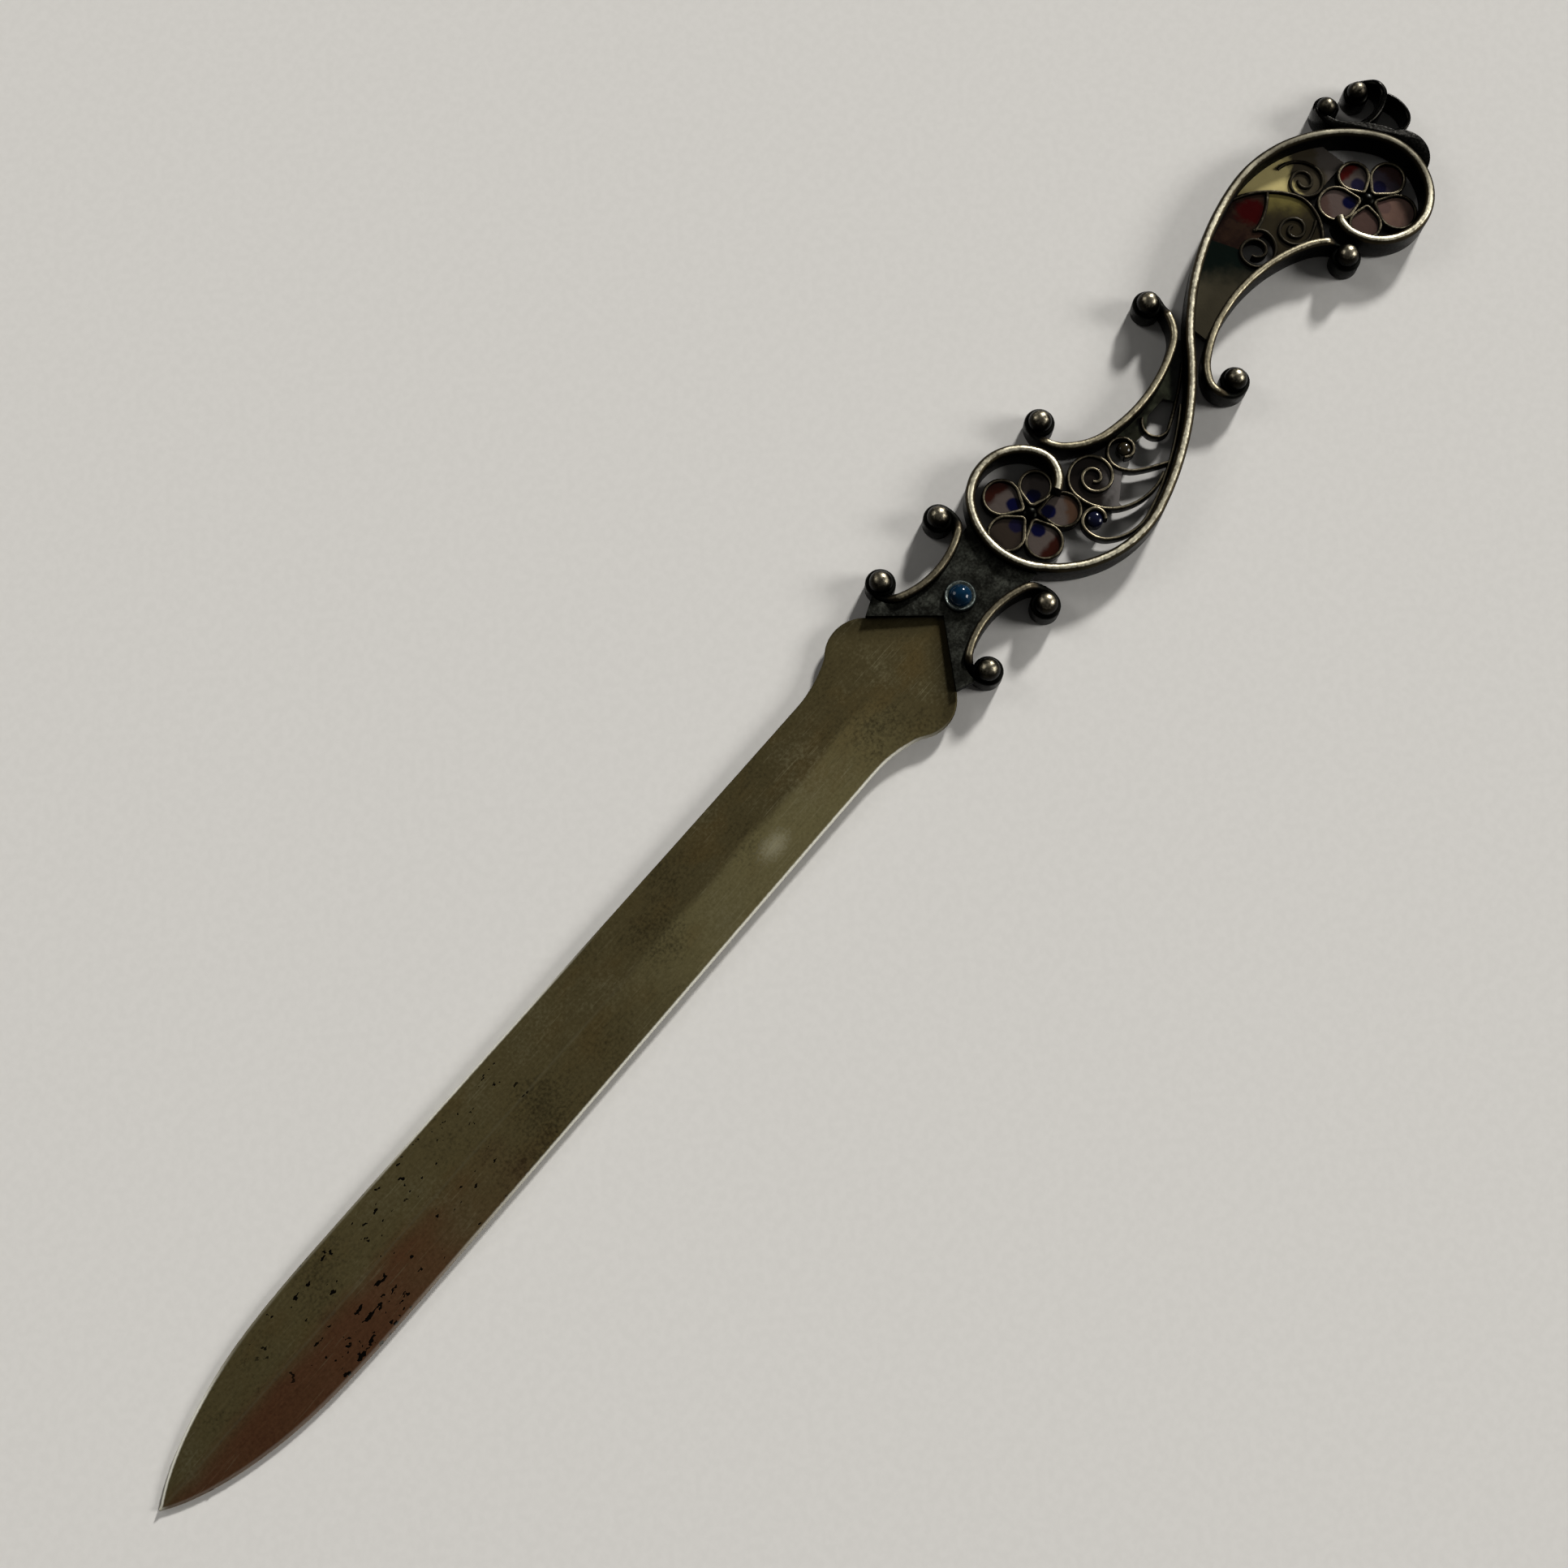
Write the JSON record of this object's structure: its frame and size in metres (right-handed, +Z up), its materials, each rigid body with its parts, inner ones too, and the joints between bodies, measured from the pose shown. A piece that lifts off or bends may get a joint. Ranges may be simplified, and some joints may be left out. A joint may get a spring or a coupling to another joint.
{
  "type": "letter opener",
  "caption": "Flat letter opener with a long ridged blade and an S-scroll strip handle filled with filigree wire flowers and coloured enamel.",
  "frame": {"origin": "on the flat back of the S-frame, where the S's middle line crosses the blade's middle line", "axes": "+X along the opener from the blade's tip to the finial, +Z up from the flat back, +Y to the left of +X"},
  "size_m": [0.2014, 0.0209, 0.0041],
  "materials": {
    "blade_metal": "tarnished gilt, brushed lengthways, brown towards the tip",
    "frame_silver": "oxidised silver, worn bright along the top edges",
    "finial_silver": "blackened silver",
    "ball_silver": "polished silver, dark at the foot",
    "dark_plate": "blackened silver sheet",
    "bezel_silver": "satin silver",
    "filigree_wire": "blackened silver wire",
    "teal_stone": "polished teal blue cabochon",
    "petal_enamel": "pale enamel with a blue spot and a red-brown outer part",
    "grey_enamel": "grey-mauve enamel",
    "green_enamel": "dark green enamel",
    "yellow_enamel": "yellow enamel",
    "red_enamel": "deep red enamel",
    "light_enamel": "yellow-green enamel",
    "blue_enamel": "dark blue enamel bead",
    "olive_enamel": "olive enamel bead"
  },
  "bodies": {
    "root": {"ball_finial_base": "ball_silver", "ball_finial_hook": "ball_silver", "ball_lower_side_back": "ball_silver", "ball_lower_side_front": "ball_silver", "ball_shield_left_far": "ball_silver", "ball_shield_left_near": "ball_silver", "ball_shield_right_far": "ball_silver", "ball_shield_right_near": "ball_silver", "ball_upper_side_back": "ball_silver", "ball_upper_side_front": "ball_silver", "blade": "blade_metal", "blue_cabochon": "teal_stone", "finial_base": "finial_silver", "finial_hook": "finial_silver", "finial_loop": "finial_silver", "lower_arch_wire": "filigree_wire", "lower_blue_bead": "blue_enamel", "lower_edge_wire": "filigree_wire", "lower_flower_bead": "filigree_wire", "lower_green_enamel": "green_enamel", "lower_grey_enamel": "grey_enamel", "lower_large_spiral": "filigree_wire", "lower_petal_enamel_1": "petal_enamel", "lower_petal_enamel_2": "petal_enamel", "lower_petal_enamel_3": "petal_enamel", "lower_petal_enamel_4": "petal_enamel", "lower_petal_enamel_5": "petal_enamel", "lower_petal_wire_1": "filigree_wire", "lower_petal_wire_2": "filigree_wire", "lower_petal_wire_3": "filigree_wire", "lower_petal_wire_4": "filigree_wire", "lower_petal_wire_5": "filigree_wire", "lower_small_spiral": "filigree_wire", "lower_yellow_bead": "olive_enamel", "s_frame": "frame_silver", "shield_plate": "dark_plate", "shield_scroll_left": "frame_silver", "shield_scroll_right": "frame_silver", "side_scroll_lower": "frame_silver", "side_scroll_upper": "frame_silver", "stone_bezel": "bezel_silver", "upper_dark_enamel": "green_enamel", "upper_far_spiral": "filigree_wire", "upper_flower_bead": "filigree_wire", "upper_leaf_wire": "filigree_wire", "upper_light_enamel": "light_enamel", "upper_middle_spiral": "filigree_wire", "upper_near_spiral": "filigree_wire", "upper_petal_enamel_1": "petal_enamel", "upper_petal_enamel_2": "petal_enamel", "upper_petal_enamel_3": "petal_enamel", "upper_petal_enamel_4": "petal_enamel", "upper_petal_enamel_5": "petal_enamel", "upper_petal_wire_1": "filigree_wire", "upper_petal_wire_2": "filigree_wire", "upper_petal_wire_3": "filigree_wire", "upper_petal_wire_4": "filigree_wire", "upper_petal_wire_5": "filigree_wire", "upper_red_enamel": "red_enamel", "upper_yellow_enamel": "yellow_enamel"}
  },
  "joints": []
}
